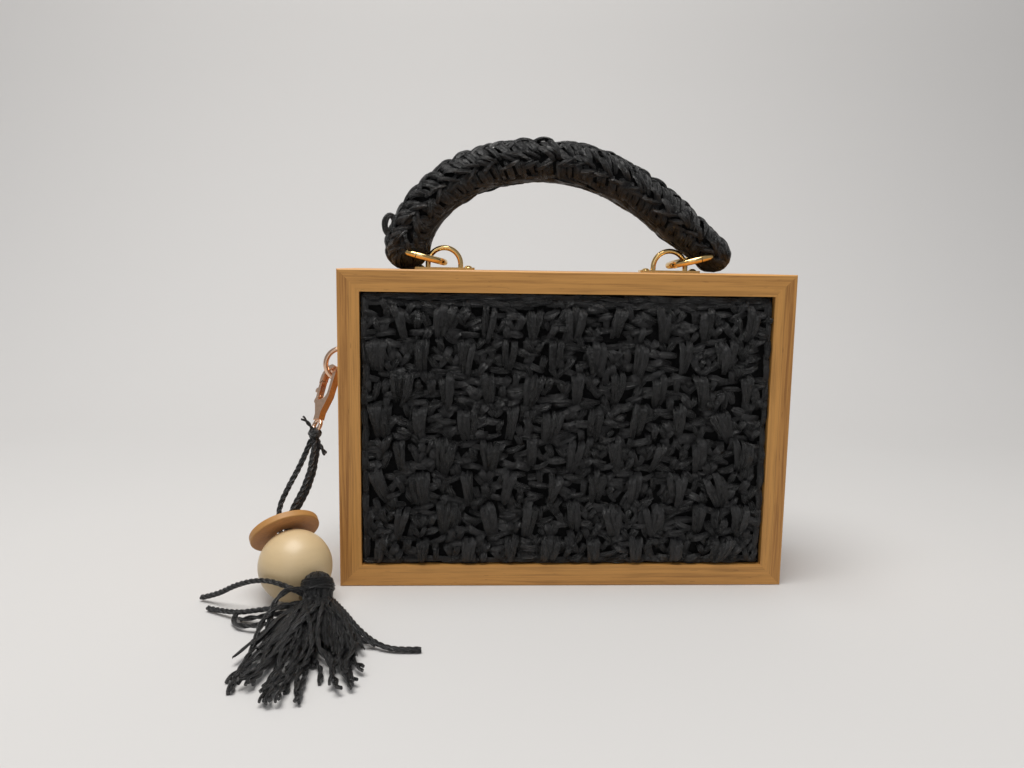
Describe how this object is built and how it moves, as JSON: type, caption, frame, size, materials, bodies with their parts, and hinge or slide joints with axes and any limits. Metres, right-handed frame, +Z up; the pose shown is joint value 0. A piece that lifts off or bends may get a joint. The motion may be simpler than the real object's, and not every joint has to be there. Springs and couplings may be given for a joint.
{
  "type": "basket box bag",
  "caption": "Box-shaped handbag with a bamboo frame, crocheted raffia panels and handle, a hinged back, and a ball and tassel charm clipped to its side.",
  "frame": {"origin": "middle of the case's underside", "axes": "+X to the right along the width, +Y to the back lid, +Z up"},
  "size_m": [0.2678, 0.169, 0.2016],
  "materials": {
    "bamboo": "satin lacquer over layered bamboo",
    "backing": "black stained board",
    "black_raffia": "crocheted raffia with a soft sheen",
    "gold": "polished gold plate",
    "rose_gold": "polished copper gold plate",
    "steel": "plated steel",
    "disc_wood": "waxed hardwood",
    "cream_ball": "cream gloss lacquer on wood"
  },
  "bodies": {
    "case": {"case_top_board": "bamboo", "case_bottom_board": "bamboo", "case_left_board": "bamboo", "case_right_board": "bamboo", "front_backing_board": "backing", "front_weave": "black_raffia", "strap_loop_top_left": "gold", "strap_loop_top_right": "gold", "strap_loop_side_left": "rose_gold", "strap_loop_side_right": "gold", "strap_loop_screws": "gold", "case_magnets": "steel", "hinge_leaf_case_left": "gold", "hinge_leaf_case_right": "gold", "hinge_pin_left": "gold", "hinge_pin_right": "gold", "hinge_screws_case": "gold"},
    "lid": {"lid_top_rail": "bamboo", "lid_bottom_rail": "bamboo", "lid_left_stile": "bamboo", "lid_right_stile": "bamboo", "back_backing_board": "backing", "back_weave": "black_raffia", "lid_magnets": "steel", "hinge_leaf_lid_left": "gold", "hinge_leaf_lid_right": "gold", "hinge_screws_lid": "gold"},
    "handle": {"handle": "black_raffia"},
    "ring_left": {"ring_left": "gold", "ring_pin_left": "gold", "handle_fold_left": "black_raffia"},
    "ring_right": {"ring_right": "gold", "ring_pin_right": "gold", "handle_fold_right": "black_raffia"},
    "ring_gate_left": {"ring_gate_left": "gold"},
    "ring_gate_right": {"ring_gate_right": "gold"},
    "charm": {"clasp_body": "rose_gold", "clasp_pin": "rose_gold", "charm_knot": "black_raffia", "charm_cord_left": "black_raffia", "charm_cord_front": "black_raffia", "charm_cord_rear": "black_raffia", "charm_disc": "disc_wood", "charm_ball": "cream_ball", "tassel_head": "black_raffia", "tassel_skirt": "black_raffia", "stray_left_upper": "black_raffia", "stray_left_lower": "black_raffia", "stray_right": "black_raffia"},
    "clasp_gate": {"clasp_gate": "rose_gold"}
  },
  "joints": [
    {"name": "lid_hinge", "type": "hinge", "parent": "case", "child": "lid", "pos_m": [0, 0.015, 0.002], "axis": [-1, 0, 0], "range_deg": [0, 90]},
    {"name": "handle_swing", "type": "hinge", "parent": "case", "child": "handle", "pos_m": [-0.0026, 0, 0.149], "axis": [1, 0, 0], "range_deg": [-50, 50]},
    {"name": "ring_left_tilt", "type": "hinge", "parent": "case", "child": "ring_left", "pos_m": [-0.06519, 0, 0.149], "axis": [1, 0, 0], "range_deg": [-9, 9]},
    {"name": "ring_right_tilt", "type": "hinge", "parent": "case", "child": "ring_right", "pos_m": [0.05999, 0, 0.149], "axis": [1, 0, 0], "range_deg": [-9, 9]},
    {"name": "ring_gate_left_open", "type": "hinge", "parent": "ring_left", "child": "ring_gate_left", "pos_m": [-0.05695, -0.00617, 0.14485], "axis": [-0.2419, 0, -0.9703], "range_deg": [0, 20], "stiffness_Nm_per_rad": 0.004, "springref_deg": -17.19},
    {"name": "ring_gate_right_open", "type": "hinge", "parent": "ring_right", "child": "ring_gate_right", "pos_m": [0.05175, -0.00617, 0.14485], "axis": [-0.2419, 0, 0.9703], "range_deg": [0, 20], "stiffness_Nm_per_rad": 0.004, "springref_deg": -17.19},
    {"name": "charm_swing", "type": "hinge", "parent": "case", "child": "charm", "pos_m": [-0.1078, 0, 0.0911], "axis": [-1, 0, 0], "range_deg": [0, 60]},
    {"name": "clasp_gate_open", "type": "hinge", "parent": "charm", "child": "clasp_gate", "pos_m": [-0.11291, -0.0034, 0.07961], "axis": [0.7182, 0.5121, -0.4711], "range_deg": [0, 16], "stiffness_Nm_per_rad": 0.004, "springref_deg": -17.19}
  ],
  "couplings": [
    {"joint": "ring_left_tilt", "follows": "handle_swing", "ratio": 0.18},
    {"joint": "ring_right_tilt", "follows": "handle_swing", "ratio": 0.18}
  ]
}
